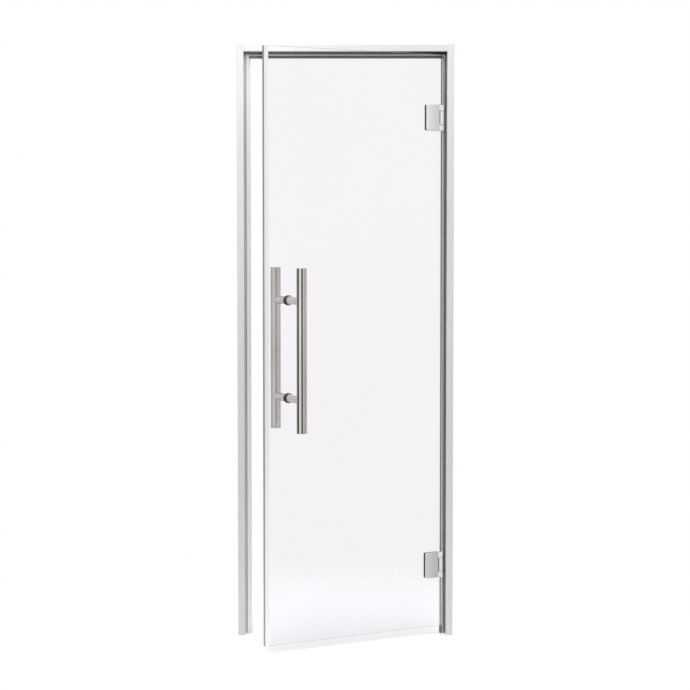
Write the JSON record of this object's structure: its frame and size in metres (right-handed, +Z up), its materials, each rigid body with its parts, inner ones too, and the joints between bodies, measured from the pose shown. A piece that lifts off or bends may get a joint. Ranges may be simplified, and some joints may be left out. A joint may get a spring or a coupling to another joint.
{
  "type": "glass door with frame",
  "caption": "Framed glass door standing ajar: slim aluminium frame without a threshold, clear glass leaf on clamp hinges, edge seal with magnet, and long tubular pull handles back to back.",
  "frame": {"origin": "on the floor, midway between the jambs, in the plane of the frame's front face", "axes": "+X to the viewer's right, towards the hinge jamb; +Y from front to back, away from the side the leaf opens to; +Z up"},
  "size_m": [0.69, 0.3784, 1.89],
  "materials": {
    "frame_aluminium": "satin anodised",
    "clear_glass": "clear polished",
    "black_rubber": "matt",
    "milky_seal": "translucent, satin",
    "magnet_strip": "matt",
    "black_nylon": "matt",
    "hinge_chrome": "satin chrome",
    "fastener_steel": "plain",
    "handle_steel": "brushed and polished"
  },
  "bodies": {
    "frame": {"strike_jamb": "frame_aluminium", "hinge_jamb": "frame_aluminium", "header": "frame_aluminium", "strike_corner_block": "fastener_steel", "hinge_corner_block": "fastener_steel", "corner_screws": "fastener_steel", "strike_corner_gasket": "black_rubber", "hinge_corner_gasket": "black_rubber", "header_corner_gasket": "black_rubber", "hinge_stop_gasket": "black_rubber", "header_stop_gasket": "black_rubber", "strike_strip": "milky_seal", "strike_magnet": "magnet_strip", "upper_hinge_wall_block": "hinge_chrome", "lower_hinge_wall_block": "hinge_chrome", "upper_hinge_bushes": "black_nylon", "lower_hinge_bushes": "black_nylon", "upper_hinge_wall_screws": "fastener_steel", "lower_hinge_wall_screws": "fastener_steel"},
    "leaf": {"glass_pane": "clear_glass", "edge_seal": "milky_seal", "edge_magnet": "magnet_strip", "upper_hinge_front_plate": "hinge_chrome", "lower_hinge_front_plate": "hinge_chrome", "upper_hinge_rear_plate": "hinge_chrome", "lower_hinge_rear_plate": "hinge_chrome", "upper_hinge_front_pad": "black_rubber", "lower_hinge_front_pad": "black_rubber", "upper_hinge_rear_pad": "black_rubber", "lower_hinge_rear_pad": "black_rubber", "upper_hinge_clamp_screws": "fastener_steel", "lower_hinge_clamp_screws": "fastener_steel", "upper_hinge_pin": "fastener_steel", "lower_hinge_pin": "fastener_steel", "outer_bar": "handle_steel", "inner_bar": "handle_steel", "outer_bar_caps": "handle_steel", "inner_bar_caps": "handle_steel", "outer_upper_post": "handle_steel", "outer_lower_post": "handle_steel", "inner_upper_post": "handle_steel", "inner_lower_post": "handle_steel", "outer_washers": "black_rubber", "inner_washers": "black_rubber", "glass_sleeves": "milky_seal", "handle_studs": "fastener_steel", "bar_screws": "fastener_steel", "post_grub_screws": "fastener_steel"}
  },
  "joints": [
    {"name": "leaf_swing", "type": "hinge", "parent": "frame", "child": "leaf", "pos_m": [0.305, 0.02, 0], "axis": [0, 0, 1], "range_deg": [-28, 72]}
  ]
}
